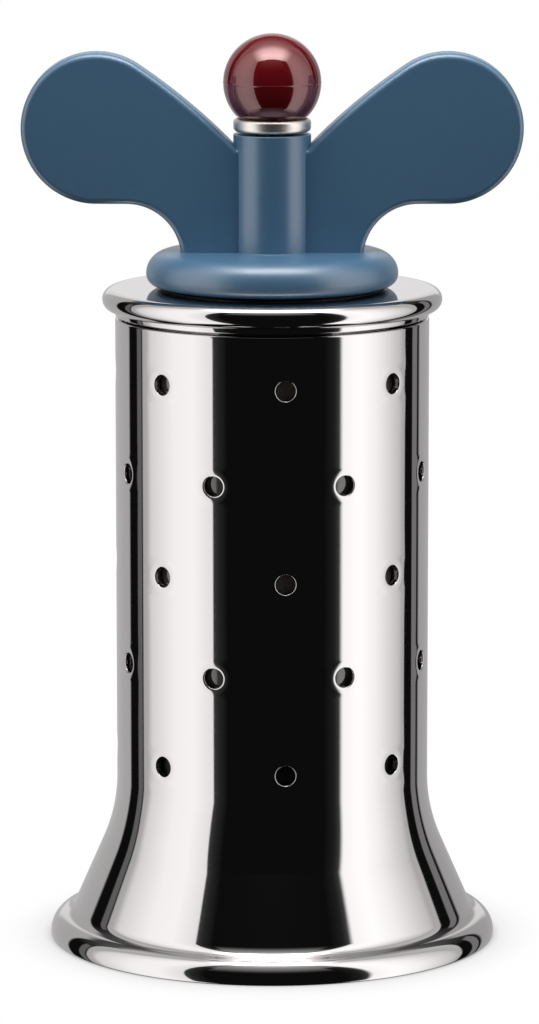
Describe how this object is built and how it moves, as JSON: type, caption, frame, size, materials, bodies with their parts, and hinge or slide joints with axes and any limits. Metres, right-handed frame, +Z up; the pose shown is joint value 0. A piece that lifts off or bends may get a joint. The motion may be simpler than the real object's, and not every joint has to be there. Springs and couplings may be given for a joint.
{
  "type": "salt mill",
  "caption": "Table mill for coarse salt: a perforated steel shell on a flared foot, a winged turning handle with a ball knob, and a ceramic burr inside.",
  "frame": {"origin": "on the mill's axis, on the surface that the foot stands on", "axes": "+Z up along the axis, X along the wings, -Y towards the viewer of the picture"},
  "size_m": [0.0722, 0.065, 0.1321],
  "materials": {
    "polished_steel": "mirror polished",
    "satin_steel": "satin",
    "plain_steel": "plain",
    "brass": "turned",
    "ceramic": "fired, unglazed",
    "black_nylon": "moulded",
    "smoked_plastic": "gloss",
    "blue_plastic": "satin, fine grain",
    "red_plastic": "high gloss"
  },
  "bodies": {
    "mill_body": {"shell": "polished_steel", "rim_ring": "polished_steel", "mouth_bush": "black_nylon", "hopper_tube": "smoked_plastic", "burr_housing": "black_nylon", "burr_ring": "ceramic", "shaft_guide": "black_nylon", "retaining_bar": "plain_steel", "bar_screw_left": "plain_steel", "bar_screw_right": "plain_steel", "spring": "plain_steel"},
    "drive": {"drive_sleeve": "black_nylon"},
    "grinder": {"shaft": "plain_steel", "burr_cone": "ceramic", "thrust_washer": "plain_steel", "cone_nut": "plain_steel"},
    "head": {"handle": "blue_plastic", "turn_plate": "plain_steel", "plate_screw_left": "plain_steel", "plate_screw_right": "plain_steel"},
    "knob": {"ferrule": "satin_steel", "ball_knob": "red_plastic", "knob_insert": "brass"}
  },
  "joints": [
    {"name": "handle_turn", "type": "hinge", "parent": "mill_body", "child": "drive", "pos_m": [0, 0, 0.032], "axis": [0, 0, 1], "continuous": true},
    {"name": "grind_gap", "type": "slide", "parent": "drive", "child": "grinder", "axis": [0, 0, 1], "range_m": [-0.0012, 0], "deforming": ["spring"]},
    {"name": "head_lift", "type": "slide", "parent": "drive", "child": "head", "axis": [0, 0, 1], "range_m": [0, 0.045]},
    {"name": "knob_turn", "type": "hinge", "parent": "head", "child": "knob", "pos_m": [0, 0, 0.1252], "axis": [0, 0, 1], "range_deg": [0, 540]}
  ],
  "couplings": [
    {"joint": "knob_turn", "follows": "grind_gap", "rad_per_m": -7853.9}
  ]
}
